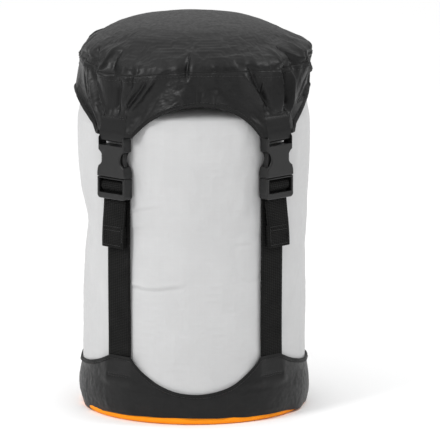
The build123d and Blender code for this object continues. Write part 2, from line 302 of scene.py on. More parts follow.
def tube_piece(name, paths, radius, material, around=6):
    """Round threads along one or more paths, as one mesh."""
    points, faces, base = [], [], 0
    turn = np.linspace(0, 2 * math.pi, around, endpoint=False)
    for path in paths:
        path = np.asarray(path, float)
        tangent = frames_along(path)
        guide = np.array([0.31, 0.52, 0.79])
        side = np.cross(tangent, guide)
        side /= np.linalg.norm(side, axis=1)[:, None]
        up = np.cross(tangent, side)
        swell = np.sin(np.linspace(0.25, math.pi - 0.25, len(path))) ** 0.5
        for k in range(len(path)):
            r = radius * swell[k]
            points += list(path[k] + r * (np.cos(turn)[:, None] * side[k] + np.sin(turn)[:, None] * up[k]))
        for k in range(len(path) - 1):
            for a in range(around):
                b = (a + 1) % around
                quad = (base + k * around + a, base + k * around + b,
                        base + (k + 1) * around + b, base + (k + 1) * around + a)
                faces.append(quad)
        faces.append(tuple(base + a for a in range(around))[::-1])
        faces.append(tuple(base + (len(path) - 1) * around + a for a in range(around)))
        base += len(path) * around
    uvs = [(0.0, 0.0)] * sum(len(f) for f in faces)
    return mesh_piece(name, points, faces, uvs, material)


def stitches(name, paths, material, pitch=2.2, gap=0.45, radius=0.2):
    """Rows of sewing: each path is cut into short threads with small gaps."""
    threads = []
    for path in paths:
        path = np.asarray(path, float)
        run = np.concatenate([[0], np.cumsum(np.linalg.norm(np.diff(path, axis=0), axis=1))])
        for k in range(max(1, int(run[-1] / pitch))):
            where = np.linspace(k * pitch + gap / 2, (k + 1) * pitch - gap / 2, 5)
            threads.append(np.stack([np.interp(where, run, path[:, c]) for c in range(3)], 1))
    return tube_piece(name, threads, radius, material)


# ---- materials --------------------------------------------------------------------------
RANGE_KEYS = ("From Min", "From Max", "To Min", "To Max")


class Shader:
    """Small helper for building a node material."""

    def __init__(self, name):
        self.material = bpy.data.materials.new(name)
        self.material.use_nodes = True
        self.tree = self.material.node_tree
        self.base = self.tree.nodes["Principled BSDF"]
        self.uv = self.node("ShaderNodeUVMap").outputs["UV"]
        self.place = self.node("ShaderNodeTexCoord").outputs["Object"]

    def node(self, kind, **values):
        made = self.tree.nodes.new(kind)
        for key, value in values.items():
            if key in made.inputs:
                self.put(made.inputs[key], value)
            else:
                setattr(made, key, value)
        return made

    def put(self, socket, value):
        if isinstance(value, bpy.types.NodeSocket):
            self.tree.links.new(value, socket)
        else:
            socket.default_value = value

    def noise(self, scale, detail=3.0, rough=0.5):
        made = self.node("ShaderNodeTexNoise", Scale=scale, Detail=detail, Roughness=rough)
        self.put(made.inputs["Vector"], self.place)
        return made.outputs["Fac"]

    def threads(self, pitch, direction):
        """Parallel threads, a pitch apart in metres, 0 between and 1 on top."""
        made = self.node("ShaderNodeTexWave", wave_type="BANDS", bands_direction=direction)
        self.put(made.inputs["Scale"], 0.314159 / pitch)
        self.put(made.inputs["Distortion"], 0.0)
        self.put(made.inputs["Vector"], self.uv)
        return made.outputs["Fac"]

    def math(self, kind, a, b):
        made = self.node("ShaderNodeMath", operation=kind)
        self.put(made.inputs[0], a)
        self.put(made.inputs[1], b)
        return made.outputs[0]

    def ramp(self, value, low, high, out_low=0.0, out_high=1.0):
        made = self.node("ShaderNodeMapRange", interpolation_type="SMOOTHSTEP")
        self.put(made.inputs["Value"], value)
        for key, number in zip(RANGE_KEYS, (low, high, out_low, out_high)):
            self.put(made.inputs[key], number)
        return made.outputs["Result"]

    def mix(self, share, a, b):
        made = self.node("ShaderNodeMix", data_type="RGBA")
        self.put(made.inputs[0], share)
        self.put(made.inputs[6], a)
        self.put(made.inputs[7], b)
        return made.outputs[2]

    def height(self, value, distance, strength=1.0, before=None):
        made = self.node("ShaderNodeBump", Strength=strength, Distance=distance)
        self.put(made.inputs["Height"], value)
        if before is not None:
            self.put(made.inputs["Normal"], before)
        return made.outputs["Normal"]

    def finish(self, color, roughness, normal=None):
        self.put(self.base.inputs["Base Color"], color)
        self.put(self.base.inputs["Roughness"], roughness)
        if normal is not None:
            self.put(self.base.inputs["Normal"], normal)
        return self.material


def rgba(color):
    return (*color, 1.0)


def woven(name, colors, pitch, grid, roughness, depth, specular, sheen=0.0, crumple=0.35):
    """Plain-weave cloth with a ripstop grid, varying between two colours; lengths in metres."""
    s = Shader(name)
    weave = s.math("MULTIPLY", s.threads(pitch, "X"), s.threads(pitch, "Y"))
    rip_x = s.ramp(s.threads(grid, "X"), 0.93, 1.0)
    rip_y = s.ramp(s.threads(grid, "Y"), 0.93, 1.0)
    rip = s.math("MAXIMUM", rip_x, rip_y)
    relief = s.math("ADD", s.math("MULTIPLY", weave, 0.55), s.math("MULTIPLY", rip, 0.35))
    crinkle = s.noise(420.0, 3.0, rough=0.5)
    soft = s.noise(60.0, 3.0)
    normal = s.height(crinkle, 0.00035, crumple)
    normal = s.height(relief, depth * MM, 0.6, before=normal)
    # Colour: random tone in soft patches, and a little lighter on the raised ripstop grid, which is painted
    # highlight.
    tone_and_grid_highlight = s.math("ADD", s.math("MULTIPLY", soft, 0.8), s.math("MULTIPLY", rip, 0.07))
    tone_and_grid_highlight_share = s.ramp(tone_and_grid_highlight, 0.2, 0.85)
    color = s.mix(tone_and_grid_highlight_share, *map(rgba, colors))
    rough = s.ramp(crinkle, 0.3, 0.7, roughness - 0.05, roughness + 0.07)
    s.base.inputs["Sheen Weight"].default_value = sheen
    s.base.inputs["Sheen Roughness"].default_value = 0.4
    s.base.inputs["Specular IOR Level"].default_value = specular
    return s.finish(color, rough, normal)


def webbing(name, dark, light, rib=0.0011):
    """Ribbed webbing: ridges across its length, crossed by fine threads along it."""
    s = Shader(name)
    ribs = s.threads(rib, "Y")
    cords = s.threads(rib * 1.7, "X")
    relief = s.math("ADD", s.math("MULTIPLY", ribs, 0.7), s.math("MULTIPLY", cords, 0.5))
    fuzz = s.noise(1500.0, 2.0)
    normal = s.height(relief, 0.0004, 1.0)
    normal = s.height(fuzz, 0.0001, 0.4, before=normal)
    # Colour: darker in the grooves between ribs and cords and lighter on their tops, which is painted shade
    # and highlight, mixed with random tone.
    rib_shade_and_tone = s.math("ADD", s.math("MULTIPLY", relief, 0.6), s.math("MULTIPLY", s.noise(90.0), 0.4))
    color = s.mix(s.ramp(rib_shade_and_tone, 0.2, 1.0), rgba(dark), rgba(light))
    s.base.inputs["Specular IOR Level"].default_value = 0.1
    return s.finish(color, s.ramp(fuzz, 0.3, 0.7, 0.72, 0.85), normal)


def moulded(name, dark, light, roughness):
    """Satin moulded plastic with fine spark-erosion grain and scuffed patches."""
    s = Shader(name)
    grain = s.noise(2600.0, 3.0)
    scuff = s.noise(160.0, 5.0, rough=0.65)
    color = s.mix(s.ramp(scuff, 0.45, 0.8), rgba(dark), rgba(light))
    rough = s.ramp(scuff, 0.35, 0.75, roughness - 0.06, roughness + 0.1)
    s.base.inputs["Specular IOR Level"].default_value = 0.35
    return s.finish(color, rough, s.height(grain, 0.00004, 0.5))


def thread(name, color, pale):
    """Twisted sewing thread."""
    s = Shader(name)
    twist = s.noise(1800.0, 2.0)
    tint = s.mix(s.ramp(twist, 0.3, 0.7), rgba(color), rgba(pale))
    return s.finish(tint, 0.6, s.height(twist, 0.00008, 0.6))


LIGHT_CLOTH = woven("coated_grey_ripstop", [(0.485, 0.486, 0.488), (0.52, 0.521, 0.523)], 0.0005, 0.0052,
                    0.5, depth=0.02, specular=0.25)
LID_CLOTH = woven("charcoal_nylon", [(0.0045, 0.0045, 0.0046), (0.008, 0.008, 0.0081)], 0.0006, 0.005, 0.42,
                  depth=0.03, specular=0.24, crumple=0.02)
TAPE_CLOTH = woven("black_edge_tape", [(0.008, 0.008, 0.008), (0.014, 0.014, 0.014)], 0.0007, 0.0035, 0.6,
                   depth=0.08, specular=0.15, sheen=0.02)
ORANGE_CLOTH = woven("orange_nylon", [(0.97, 0.3, 0.008), (1.0, 0.34, 0.012)], 0.0006, 0.005, 0.5,
                     depth=0.05, specular=0.12)
WEBBING = webbing("black_webbing", (0.002, 0.002, 0.002), (0.016, 0.016, 0.0155))
PLASTIC = moulded("dark_acetal", (0.007, 0.007, 0.007), (0.015, 0.015, 0.015), 0.4)
STRIP = moulded("black_strip", (0.012, 0.012, 0.012), (0.03, 0.03, 0.03), 0.5)
SEAL_TAPE = moulded("seam_sealing_tape", (0.5, 0.5, 0.5), (0.6, 0.6, 0.6), 0.35)
DARK_THREAD = thread("charcoal_thread", (0.006, 0.006, 0.006), (0.014, 0.014, 0.014))


# ---- cloth ------------------------------------------------------------------------------
SOLVER_SCALE = 20.0  # the cloth solver wants edges of centimetres
FRAMES = 16


def settle(shape, fuller, held, bending, pressure):
    """Cloth simulation of a ring of cloth that was cut fuller than its shape and is held at some points."""
    shape = shape * SOLVER_SCALE
    piece = grid_piece("settling", shape, None, wrap=True)
    piece.shape_key_add(name="start")
    cut = piece.shape_key_add(name="cut")
    wide = shape * np.stack([fuller, fuller, 1 + 0 * fuller], -1)
    cut.data.foreach_set("co", (wide * MM).astype(np.float32).ravel())
    pins = piece.vertex_groups.new(name="held")
    pins.add(np.flatnonzero(held.ravel()).tolist(), 1.0, "REPLACE")
    cloth = piece.modifiers.new("Cloth", "CLOTH")
    rules = cloth.settings
    rules.vertex_group_mass = "held"
    rules.rest_shape_key = cut
    rules.quality = 5
    rules.mass = 0.05
    rules.tension_stiffness = rules.compression_stiffness = 25
    rules.shear_stiffness = 8
    rules.bending_stiffness = bending
    rules.tension_damping = rules.compression_damping = rules.air_damping = 0.5
    rules.use_pressure = True
    rules.uniform_pressure_force = pressure
    rules.effector_weights.gravity = 0.0
    cloth.collision_settings.use_collision = False
    cloth.point_cache.frame_end = FRAMES
    for number in range(1, FRAMES + 1):
        bpy.context.scene.frame_set(number)
    made = piece.evaluated_get(bpy.context.evaluated_depsgraph_get()).to_mesh()
    settled = np.empty(len(made.vertices) * 3)
    made.vertices.foreach_get("co", settled)
    bpy.data.objects.remove(piece)
    bpy.context.scene.frame_set(1)
    return settled.reshape(shape.shape) / MM / SOLVER_SCALE


class Settled:
    """How far a ring of cloth has moved from its smooth shape, on a grid of bearings and rows."""

    def __init__(self, rows, moved):
        self.rows, self.moved, self.cols = rows, moved, moved.shape[1]

    def __call__(self, bearing, row):
        bearing, row = np.broadcast_arrays(bearing, row)
        u = (bearing + math.pi) / (2 * math.pi) * self.cols
        v = np.clip(np.interp(row, self.rows, np.arange(len(self.rows))), 0, len(self.rows) - 1.001)
        iu, iv = np.floor(u).astype(int), np.floor(v).astype(int)
        fu, fv = (u - iu)[..., None], (v - iv)[..., None]
        total = 0.0
        for du, wu in ((0, 1 - fu), (1, fu)):
            for dv, wv in ((0, 1 - fv), (1, fv)):
                total = total + wu * wv * self.moved[iv + dv, (iu + du) % self.cols]
        return total


# ---- the sack's shape -------------------------------------------------------------------
BODY_PROFILE = [(4, 74.4), (12, 76.2), (20, 76.2), (33, 75.3), (60, 75.4), (85, 75.3), (103, 75.1),
                (126, 74.5), (140, 75.8), (152, 77.0), (180, 78.2), (196, 78.3), (207, 76.6)]


def sideways(bearing, z):
    """The filled sack leans a little: its waist is deeper on the left."""
    left, right = np.clip(-np.sin(bearing), 0, 1) ** 2, np.clip(np.sin(bearing), 0, 1) ** 2
    on_left = curve([(0, -0.8), (20, 0.0), (70, 0.2), (105, -0.6), (128, -2.6), (150, -0.6), (165, 0.0)], z)
    on_right = curve([(0, 1.6), (20, 0.2), (70, 1.0), (105, 0.7), (128, 2.2), (150, 0.5), (180, 0.2),
                      (200, 0)], z)
    return left * on_left + right * on_right


# Creases of the body: bearing in degrees and height of points along each, then its depth.
BODY_CREASES = [
    ([(-35, 92.4), (-24, 90.8), (-14.5, 92.4), (-5, 94.2)], 1.1),
    ([(-35, 143.5), (-25, 146.5), (-18, 148)], 0.6),
    ([(-36, 131), (-30, 132.5), (-25, 133)], 0.5), ([(20, 121), (28, 121.5), (35, 118)], 0.4),
    ([(150, 96), (162, 92), (171, 95)], 0.7), ([(-128, 136), (-116, 139), (-106, 136)], 0.5),
]


def creases(bearing, z):
    """Creases that run out from under the straps: a valley with a soft ridge above it."""
    total = 0.0
    degrees = np.degrees(bearing)
    for points, depth in BODY_CREASES:
        above = z - curve(points, degrees)
        first, last = points[0][0], points[-1][0]
        taper = step(first - 3, first + 3, degrees) * step(last + 1, last - 7, degrees)
        total = total + depth * taper * (0.7 * bump(above - 2.6, 2.2) - bump(above, 1.4))
    return total


def body_radius(bearing, z):
    """Skin of the filled body: round, drawn flat by the straps, with soft wrinkles."""
    girth = curve(BODY_PROFILE, z) + sideways(bearing, z)
    s = off_strap(bearing, BODY_SKIN)
    wide = ring_noise(11, 14, bearing, z, 60.0)
    girth = girth + 0.45 * wide * step(20, 60, z)
    flat = 75.1 / np.cos(np.clip(s / BODY_SKIN, -1.2, 1.2))
    radius = soft_min(girth, flat, 0.7)
    beside = bump(np.abs(s) - 15, 6.0)
    lines = ring_noise(12, 60, bearing, z, 9.0)
    radius = radius + 0.28 * beside * lines * step(35, 60, z)
    slack = ring_noise(13, 26, bearing, z + 14 * np.sin(bearing * 3), 30.0)
    crease = np.maximum(0, 1 - np.abs(slack) / 0.16)
    radius = radius - 0.22 * crease * step(24, 60, z) * (1 - 0.6 * step(120, 170, z))
    near_cradle = step(18, 0, z - cradle_edge(bearing)) * ring_noise(14, 110, bearing, z, 20.0)
    return radius + 0.2 * near_cradle + creases(bearing, z)


def cradle_edge(bearing):
    """Height of the cradle's scooped top edge."""
    x, y = 78.5 * np.sin(bearing), 78.5 * np.cos(bearing)
    front = 57.5 - 36.2 * np.sqrt(np.clip(1 - (x / 47.0) ** 2, 0, 1))
    side = 50.4 - 17.4 * np.sqrt(np.clip(1 - (y / 56.0) ** 2, 0, 1))
    front = np.where(np.abs(x) < 47.0, front, 99)
    side = np.where(np.abs(y) < 56.0, side, 99)
    return soft_min(soft_min(front, side, 0.8), np.full(np.shape(bearing), CRADLE_TOP), 0.8)


def body_cloth():
    """Faint wrinkles of the body between its straps, from a cloth simulation."""
    rows = np.linspace(10, 206, 84)
    turn = ring_of(360)
    z = rows[:, None] + 0 * turn
    shape = from_polar(turn, body_radius(turn, z), z)
    under_strap = (np.abs(off_strap(turn + 0 * z, 76.0)) < 10.5) & (z < 165)
    held = under_strap | (z < 22) | (z > 205)
    fuller = 1 + 0.006 * step(22, 60, z) * step(206, 180, z)
    settled = settle(shape, fuller, held, bending=3.0, pressure=0.02)
    return Settled(rows, settled - shape)


def build_body():
    """Tube, shoulder and gathered neck in one skin."""
    turn = ring_of(540)
    rows = np.concatenate([np.linspace(4.5, 60, 44, endpoint=False), np.linspace(60, 207, 148)])[:, None]
    wall = from_polar(turn, body_radius(turn, rows), rows) + body_cloth()(turn, rows)
    share = np.linspace(0, 1, 46)[1:, None]
    ease = share * share * (3 - 2 * share)
    start = from_polar(turn, body_radius(turn, np.full((1, 1), rows[-1, 0])), rows[-1, 0])
    end = np.stack(np.broadcast_arrays(61.5 * np.sin(turn), -5.2 * np.sign(np.cos(turn))
                                       * np.abs(np.cos(turn)) ** 0.6, NECK_TOP + 0.0 * turn), -1)
    plan = start + (end - start) * ease[..., None]
    rise = rows[-1, 0] + 16.5 * np.sin(share * math.pi / 2) + 2.0 * share
    pleats = ring_noise(15, 46, turn, rise, 60.0) * step(0.3, 0.6, share) * step(1.0, 0.85, share)
    z = rise + 1.5 * pleats
    z = np.where(share > 0.93, z + (NECK_TOP - rise[-1, 0]) * step(0.93, 1.0, share), z)
    top = np.concatenate([plan[..., :2], np.minimum(z, NECK_TOP)[..., None]], -1)
    piece = grid_piece("body_skin", np.concatenate([wall, top]), LIGHT_CLOTH, wrap=True)
    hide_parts("sack_body")
    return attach(piece, "sack")


def build_base():
    """Orange round panel with its turned-up rim."""
    turn = ring_of(360)
    path = [(0.5, 0.35), (20, 0.3), (40, 0.2), (60, 0.1), (69, 0.15), (72.4, 0.5), (74.3, 1.5), (74.8, 3.2),
            (74.4, 6.2)]
    radius, z = (column[::-1, None] for column in spread(path, np.linspace(0, 1, 60)))
    pucker = ring_noise(21, 90, turn, radius, 12.0) * step(55, 72, radius)
    points = from_polar(turn, radius + 0.25 * pucker, np.maximum(z + 0.22 * pucker, 0.85))
    piece = grid_piece("base_cloth", points[::-1], ORANGE_CLOTH, wrap=True)
    piece.data.flip_normals()
    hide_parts("base_panel")
    thicken(piece, 0.8)
    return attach(piece, "sack")


def build_seam_tapes():
    """Sealing tapes inside the sack: one up the rear seam, one round the base seam."""
    low, high = cad_box("side_seam_tape")
    z = np.linspace(low[2], high[2], 40)
    inside = (low[1] + high[1]) / 2 - 0.4
    wave = 0.15 * Noise(63)(np.arange(40) * 0.4, 1.0)
    path = np.stack([0.3 * np.sin(z / 30), inside + wave, z], 1)
    side = ribbon("side_tape", path, (1.0, 0.0, 0.0), high[0], 0.4, SEAL_TAPE)
    turn = ring_of(240)
    low, high = cad_box("base_seam_tape")
    z = np.linspace(low[2], high[2], 12)[:, None]
    radius = high[0] - 0.1 - 0.15 * (1 + ring_noise(64, 40, turn, z, 20.0) / 2)
    ring = thicken(grid_piece("base_tape", from_polar(turn, radius, z), SEAL_TAPE, wrap=True), 0.3)
    for piece, node in ((side, "side_seam_tape"), (ring, "base_seam_tape")):
        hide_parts(node)
        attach(piece, "sack")


CRADLE_PROFILE = [(1.0, 75.4), (4.5, 76.4), (8, 77.6), (13, 78.4), (19, 78.5), (24, 77.9), (30, 76.9),
                  (46, 76.6)]


def cradle_radius(bearing, z):
    """Outer skin of the cradle, with puckers along its foot and its scooped edge."""
    s = off_strap(bearing, CRADLE_SKIN)
    flat = 1.0 + 0.75 * np.minimum(np.abs(s) / 10, 1) ** 2
    over_strap = flat * step(24, 10.0, np.abs(s)) * step(22, 28, z)
    over_strap = over_strap - 0.55 * bump(z - 31.1, 1.0) * step(10.8, 9.8, np.abs(s))
    foot = ring_noise(31, 58, bearing, z, 30.0) * step(16, 4, z)
    edge = ring_noise(32, 84, bearing, z, 40.0) * step(12, 1, cradle_edge(bearing) - z)
    broad = ring_noise(33, 16, bearing, z, 26.0)
    lean = 0.8 * sideways(bearing, z) * step(30, 12, z) + sideways(bearing, z) * step(12, 30, z)
    middle = 0.7 * Noise(35)(bearing * 9 + 30, z / 30) * bump(bearing, 0.5) * step(14, 4, z)
    slant = ring_noise(36, 22, bearing + z / 40, z, 26.0)
    shape = curve(CRADLE_PROFILE, z) + lean + over_strap
    return shape + 0.7 * foot + 0.45 * edge + 0.6 * broad + 0.5 * slant + middle


def build_cradle():
    """Dark cradle, its turned hem and the sewing over the strap ends."""
    turn = ring_of(540)
    share = np.linspace(0, 1, 48)[:, None]
    foot = CRADLE_FOOT + 0.2 - 2.9 * step(0.7, 0.38, np.abs(np.cos(turn)))
    foot = foot + 0.6 * ring_noise(34, 40, turn, 0.0, 10.0)
    z = foot + (cradle_edge(turn) - foot) * share
    smooth = from_polar(turn, cradle_radius(turn, z), z)
    sewn = (np.abs(off_strap(turn + 0 * z, CRADLE_SKIN)) < 10.5) & (np.abs(z - 31) < 2.5)
    held = sewn | (share + 0 * turn < 0.01) | (share + 0 * turn > 0.99)
    points = settle(smooth, 1 + 0.06 * np.sin(math.pi * share) + 0 * turn, held, bending=0.08, pressure=0.02)
    piece = thicken(grid_piece("cradle_cloth", points, LID_CLOTH, wrap=True), 0.7)
    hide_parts("base_cradle")
    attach(piece, "sack")

    drop = np.linspace(0, 1, 9)[:, None]
    z = cradle_edge(turn) + 0.15 - 3.0 * drop
    radius = cradle_radius(turn, np.minimum(z, cradle_edge(turn))) + 0.28
    radius = radius + 0.3 * np.sin(drop * math.pi) ** 0.5
    hem = thicken(grid_piece("cradle_hem", from_polar(turn, radius, z)[::-1], TAPE_CLOTH, wrap=True), 0.4)
    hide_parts("cradle_binding")
    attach(hem, "sack")

    loop = np.linspace(-math.pi, math.pi, 1400)
    rows = [from_polar(loop, cradle_radius(loop, cradle_edge(loop) - 2.4) + 0.75, cradle_edge(loop) - 2.2)]
    for place in PLACES:
        for low in (30.4, 31.9):
            s = np.linspace(-9.2, 9.2, 30)
            b = BEARING[place] + s / CRADLE_SKIN
            z = np.full(30, low) + 0.25 * np.sin(s * 0.4)
            rows.append(from_polar(b, cradle_radius(b, z) + 0.12, z))
    sewing = stitches("cradle_stitching", rows, DARK_THREAD)
    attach(sewing, "sack")


# ---- lid --------------------------------------------------------------------------------
CROWN_PROFILE = [(0.0, 268.0), (22, 267.3), (32, 266.1), (43, 264.3), (53, 261.0), (60.5, 257.8),
                 (68, 254.0), (73.6, 249.8), (76.8, 245.6), (78.4, 241.2)]
SEAM_DROP = [(-180, 0.5), (-138, 2.0), (-100, 0.5), (-78, 0.5), (-56, 3.6), (-44, 4.8), (-32, 4.2),
             (-20, 1.8), (0, 0.0), (28, 0.6), (47, 2.0), (64, 1.2), (80, -2.4), (100, -1.0), (138, 2.2),
             (180, 0.5)]
# Folds of the lid's front: bearing and distance above the seam of both ends, then height and half-width.
FOLDS = [
    (-51, 22, -54, 1, 1.5, 1.6), (-46, 17, -48, 1, -0.9, 2.0), (-60, 16, -57, 1, 1.0, 1.5),
    (-66, 12, -60, 2, -1.0, 1.8), (-4, 13, -4, -4, -1.2, 1.2), (-31, 9, -31, -4, 0.7, 1.4),
    (55, 16, 59, 1, -1.7, 2.4), (68, 20, 64, 3, 1.4, 1.6), (64, 3, 76, -12, 1.3, 1.6),
    (47, 18, 48, 2, 0.9, 2.2), (-84, 4, -58, 2, -1.2, 1.4), (-57, -6, -50, -31, 1.0, 1.3),
    (-41, -4, -41, -27, -2.3, 3.6), (-19, -1, -34, -24, 1.1, 1.5), (-24, -1, -36, -24, -0.9, 1.3),
    (-28, -2, -37, -25, 0.8, 1.2), (-61, -5, -56, -24, -0.9, 1.2), (-67, -5, -58, -27, 0.9, 1.3),
    (-73, -6, -62, -28, -0.7, 1.2), (23, 0, 38, -27, 1.3, 1.7), (28, 0, 40, -27, -1.2, 1.8),
    (33, -3, 42, -28, 0.6, 1.5), (51, 2, 51, -29, -2.1, 1.9), (46, -4, 45, -26, 0.9, 2.2),
    (57, -3, 54, -28, 1.0, 1.4), (66, -24, 54, -32, -1.0, 1.4), (72, -10, 60, -28, 0.8, 1.5),
    (10, -12, 9, -23, 0.5, 1.6), (2, -11, 3, -22, -0.5, 1.4), (-7, -13, -6, -23, 0.5, 1.6),
]


def seam_height(bearing):
    """The seam is pulled down towards the tabs."""
    return SEAM_Z - curve(SEAM_DROP, np.degrees(bearing_apart(bearing, 0.0)))


def lean_out(bearing, z):
    """The lid's left side is drawn in at the seam, its right side stands squarer."""
    left, right = np.clip(-np.sin(bearing), 0, 1) ** 2, np.clip(np.sin(bearing), 0, 1) ** 2
    on_left = curve([(196, 0.0), (217, 0.6), (228, -0.9), (237, -2.6), (246, -1.6), (254, 0.6), (262, 0.8),
                     (268, 0)], z)
    on_right = curve([(196, 0.0), (217, -1.3), (228, -0.4), (241, 0.2), (248, 3.0), (254, 1.2), (262, -2.4),
                      (268, 0)], z)
    return left * on_left + right * on_right


def skirt_edge(bearing):
    """Height of the skirt's scooped lower edge."""
    x, y = LID_SKIN * np.sin(bearing), LID_SKIN * np.cos(bearing)
    lean = np.where(y > 0, 2.6 * np.clip(1 - (x / 45.0) ** 2, 0, 1), 0.0)
    front = 181.2 + 37.0 * np.sqrt(np.clip(1 - ((x - lean) / 45.0) ** 2, 0, 1))
    side = 188.5 + 29.0 * np.clip(1 - (np.abs(y) / 55.0) ** 1.8, 0, 1)
    arches = np.maximum(front, side)
    wing = np.maximum(arches, TAB_Z - 0.6)
    s = off_strap(bearing, LID_SKIN)
    return np.where(np.abs(s) < TAB_HALF, TAB_END, wing)


def folds(bearing, above):
    """Creases drawn in at a distance above the seam; the rear has the same ones turned round."""
    total = 0.0
    for turn in (0.0, math.pi):
        b = bearing_apart(bearing, turn)
        x = b * FOLD_R
        for b1, m1, b2, m2, height, width in FOLDS:
            x1, x2 = math.radians(b1) * FOLD_R, math.radians(b2) * FOLD_R
            length = math.hypot(x2 - x1, m2 - m1)
            ux, um = (x2 - x1) / length, (m2 - m1) / length
            t = ((x - x1) * ux + (above - m1) * um) / length
            d = (x - x1) * um - (above - m1) * ux + 0.9 * np.sin(3.0 * t + b1)
            taper = step(-0.22, 0.25, t) * step(1.22, 0.8, t)
            total = total + height * taper * np.exp(-(np.sqrt(d * d + 0.25) - 0.5) / (1.25 * width))
    return total


def fan(bearing, above):
    """Folds of the skirt that spread from each tab up towards the seam."""
    s = off_strap(bearing, FOLD_SKIN)
    from_tab = np.hypot(s, above + 50)
    lean = np.arctan2(s, above + 50)
    quarter = np.round((bearing / math.pi + 2) * 2)
    ridges = Noise(52)(20 + lean * 7, quarter * 9 + from_tab / 28)
    return ridges * step(12, 24, from_tab) * step(84, 62, from_tab) * step(3, -2, above)


def smooth_skirt(bearing, z):
    """Radius of the skirt without folds; near a tab it leaves the round to meet the buckle."""
    s = off_strap(bearing, LID_SKIN)
    fullness = 79.4 + lean_out(bearing, z)
    n = curve([(191.5, 81.9), (192.1, 82.9), (193.5, 83.3), (197, 83.2), (203, 81.9), (210, 80.4),
               (218, 79.8)], z)
    tab = n / np.cos(np.clip(s / LID_SKIN, -1.2, 1.2))
    share = step(25, 9, np.abs(s)) * step(219, 206, z)
    edge = z - skirt_edge(bearing)
    lift = 0.5 * bump(edge, 6.0) * step(12, 26, np.abs(s))
    ledge = 0.5 * step(208.3, 207.4, z) * step(11.0, 10.4, np.abs(s))
    return fullness * (1 - share) + tab * share + lift + ledge


CROWN_RUN = float(np.hypot(*np.diff(np.array(CROWN_PROFILE), axis=0).T).sum())


def smooth_lid(bearing, row):
    """Lid without folds. Row runs from 0 at the top, over 1 at the seam, to 2 at the lower edge."""
    run = np.array(CROWN_PROFILE)
    length = np.concatenate([[0], np.cumsum(np.hypot(*np.diff(run, axis=0).T))]) / CROWN_RUN
    share = np.clip(row, 0, 1)
    radius = curve(np.stack([length, run[:, 0]], 1), share)
    z = curve(np.stack([length, run[:, 1]], 1), share)
    drop = SEAM_Z - seam_height(bearing)
    z = z - drop * step(0.6, 1.0, share)
    crown = radius + lean_out(bearing, z) * step(0.15, 0.6, share)
    down = np.clip(row - 1, 0, 1)
    low = seam_height(bearing) + (skirt_edge(bearing) - seam_height(bearing)) * down
    z = np.where(row > 1, low, z)
    return np.where(row > 1, smooth_skirt(bearing, low), crown), z


def above_seam(bearing, row):
    """Distance above the seam along the cloth, negative on the skirt."""
    return np.where(row > 1, (row - 1) * (skirt_edge(bearing) - seam_height(bearing)), (1 - row) * CROWN_RUN)


class LidCloth:
    """The lid's cloth after it has settled: a grid of how far each point has moved from the smooth lid."""

    def __init__(self):
        rows = np.concatenate([np.linspace(0.08, 1, 52)[:-1], np.linspace(1, 2, 27)])
        turn = ring_of(480)
        row = rows[:, None] + 0 * turn
        radius, z = smooth_lid(turn, row)
        first = self.first_folds(turn, row)
        settled = self.settle(turn, row, radius + first, z)
        out = from_polar(turn, np.ones_like(first), 0.0)
        points = self.clear_of_body(turn, settled + 0.7 * first[..., None] * out)
        self.moved = Settled(rows, points - from_polar(turn, radius, z))

    @staticmethod
    def clear_of_body(turn, points):
        """Push the skirt out where a fold would go into the sack."""
        z = points[..., 2]
        radius = np.hypot(points[..., 0], points[..., 1])
        least = (body_radius(turn, np.minimum(z, 207)) + 1.3) * step(222, 214, z)
        grow = np.maximum(radius, least) / radius
        return points * np.stack([grow, grow, np.ones_like(grow)], -1)

    @staticmethod
    def first_folds(turn, row):
        """Folds the settling starts from."""
        above = above_seam(turn, row)
        s = off_strap(turn, FOLD_SKIN)
        on_tab = step(13.5, 10.4, np.abs(s)) * step(-27.0, -30.0, above)
        edge = step(0, 3.0, above - (skirt_edge(turn) - seam_height(turn))) * step(0.06, 0.2, row)
        gather = ring_noise(44, 150, turn, 200.0 + above, 40.0) * bump(above, 7.0)
        broad = ring_noise(51, 13, turn, 200.0 + above, 34.0) * step(2, 30, above) * step(0.08, 0.3, row)
        total = 1.7 * folds(turn, above) + 0.8 * gather + 0.9 * broad + 1.5 * fan(turn, above)
        return total * (1 - on_tab) * edge

    @staticmethod
    def settle(turn, row, start, z):
        """The lid's cloth is cut wider than the lid, and held at its tabs, seam and edge."""
        fuller = 1 + 0.035 * step(0.72, 0.97, row) + 0.06 * step(1.0, 1.12, row)
        s = off_strap(turn + 0 * row, FOLD_SKIN)
        above = above_seam(turn, row)
        on_tab = (np.abs(s) < 11.5) & (above < -27.5)
        held = (row < 0.12) | (np.abs(row - 1) < 0.006) | (row > 1.99) | on_tab
        return settle(from_polar(turn, start, z), fuller, held, bending=0.08, pressure=0.03)

    def __call__(self, bearing, row):
        """Point of the settled lid."""
        bearing, row = np.broadcast_arrays(bearing, row)
        radius, z = smooth_lid(bearing, row)
        return from_polar(bearing, radius, z) + self.moved(bearing, row) * self.share(row)[..., None]

    @staticmethod
    def share(row):
        """How much of the settling shows: little in the crown's middle, which stays smooth."""
        return step(0.0, 0.12, row) * (0.25 + 0.75 * step(0.5, 0.86, row))

    def out(self, bearing, row, lift):
        """Point standing off the settled lid by lift."""
        point = self(bearing, row)
        nudge = np.where(np.asarray(row) > 1.9, -0.02, 0.02)
        across = self(bearing + 0.01, row) - self(bearing - 0.01, row)
        down = (self(bearing, row + nudge) - point) * np.sign(nudge)[..., None]
        normal = np.cross(down, across)
        return point + lift * normal / np.linalg.norm(normal, axis=-1)[..., None]


def build_crown(lid):
    """Domed top panel with its gathered rim."""
    turn = ring_of(720)
    row = (1 - np.linspace(0, 1, 120) ** 1.1)[:, None]
    row[-1] = 0.004
    piece = thicken(grid_piece("crown_cloth", lid(turn, row), LID_CLOTH, wrap=True), 0.6)
    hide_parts("lid_crown")
    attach(piece, "lid")


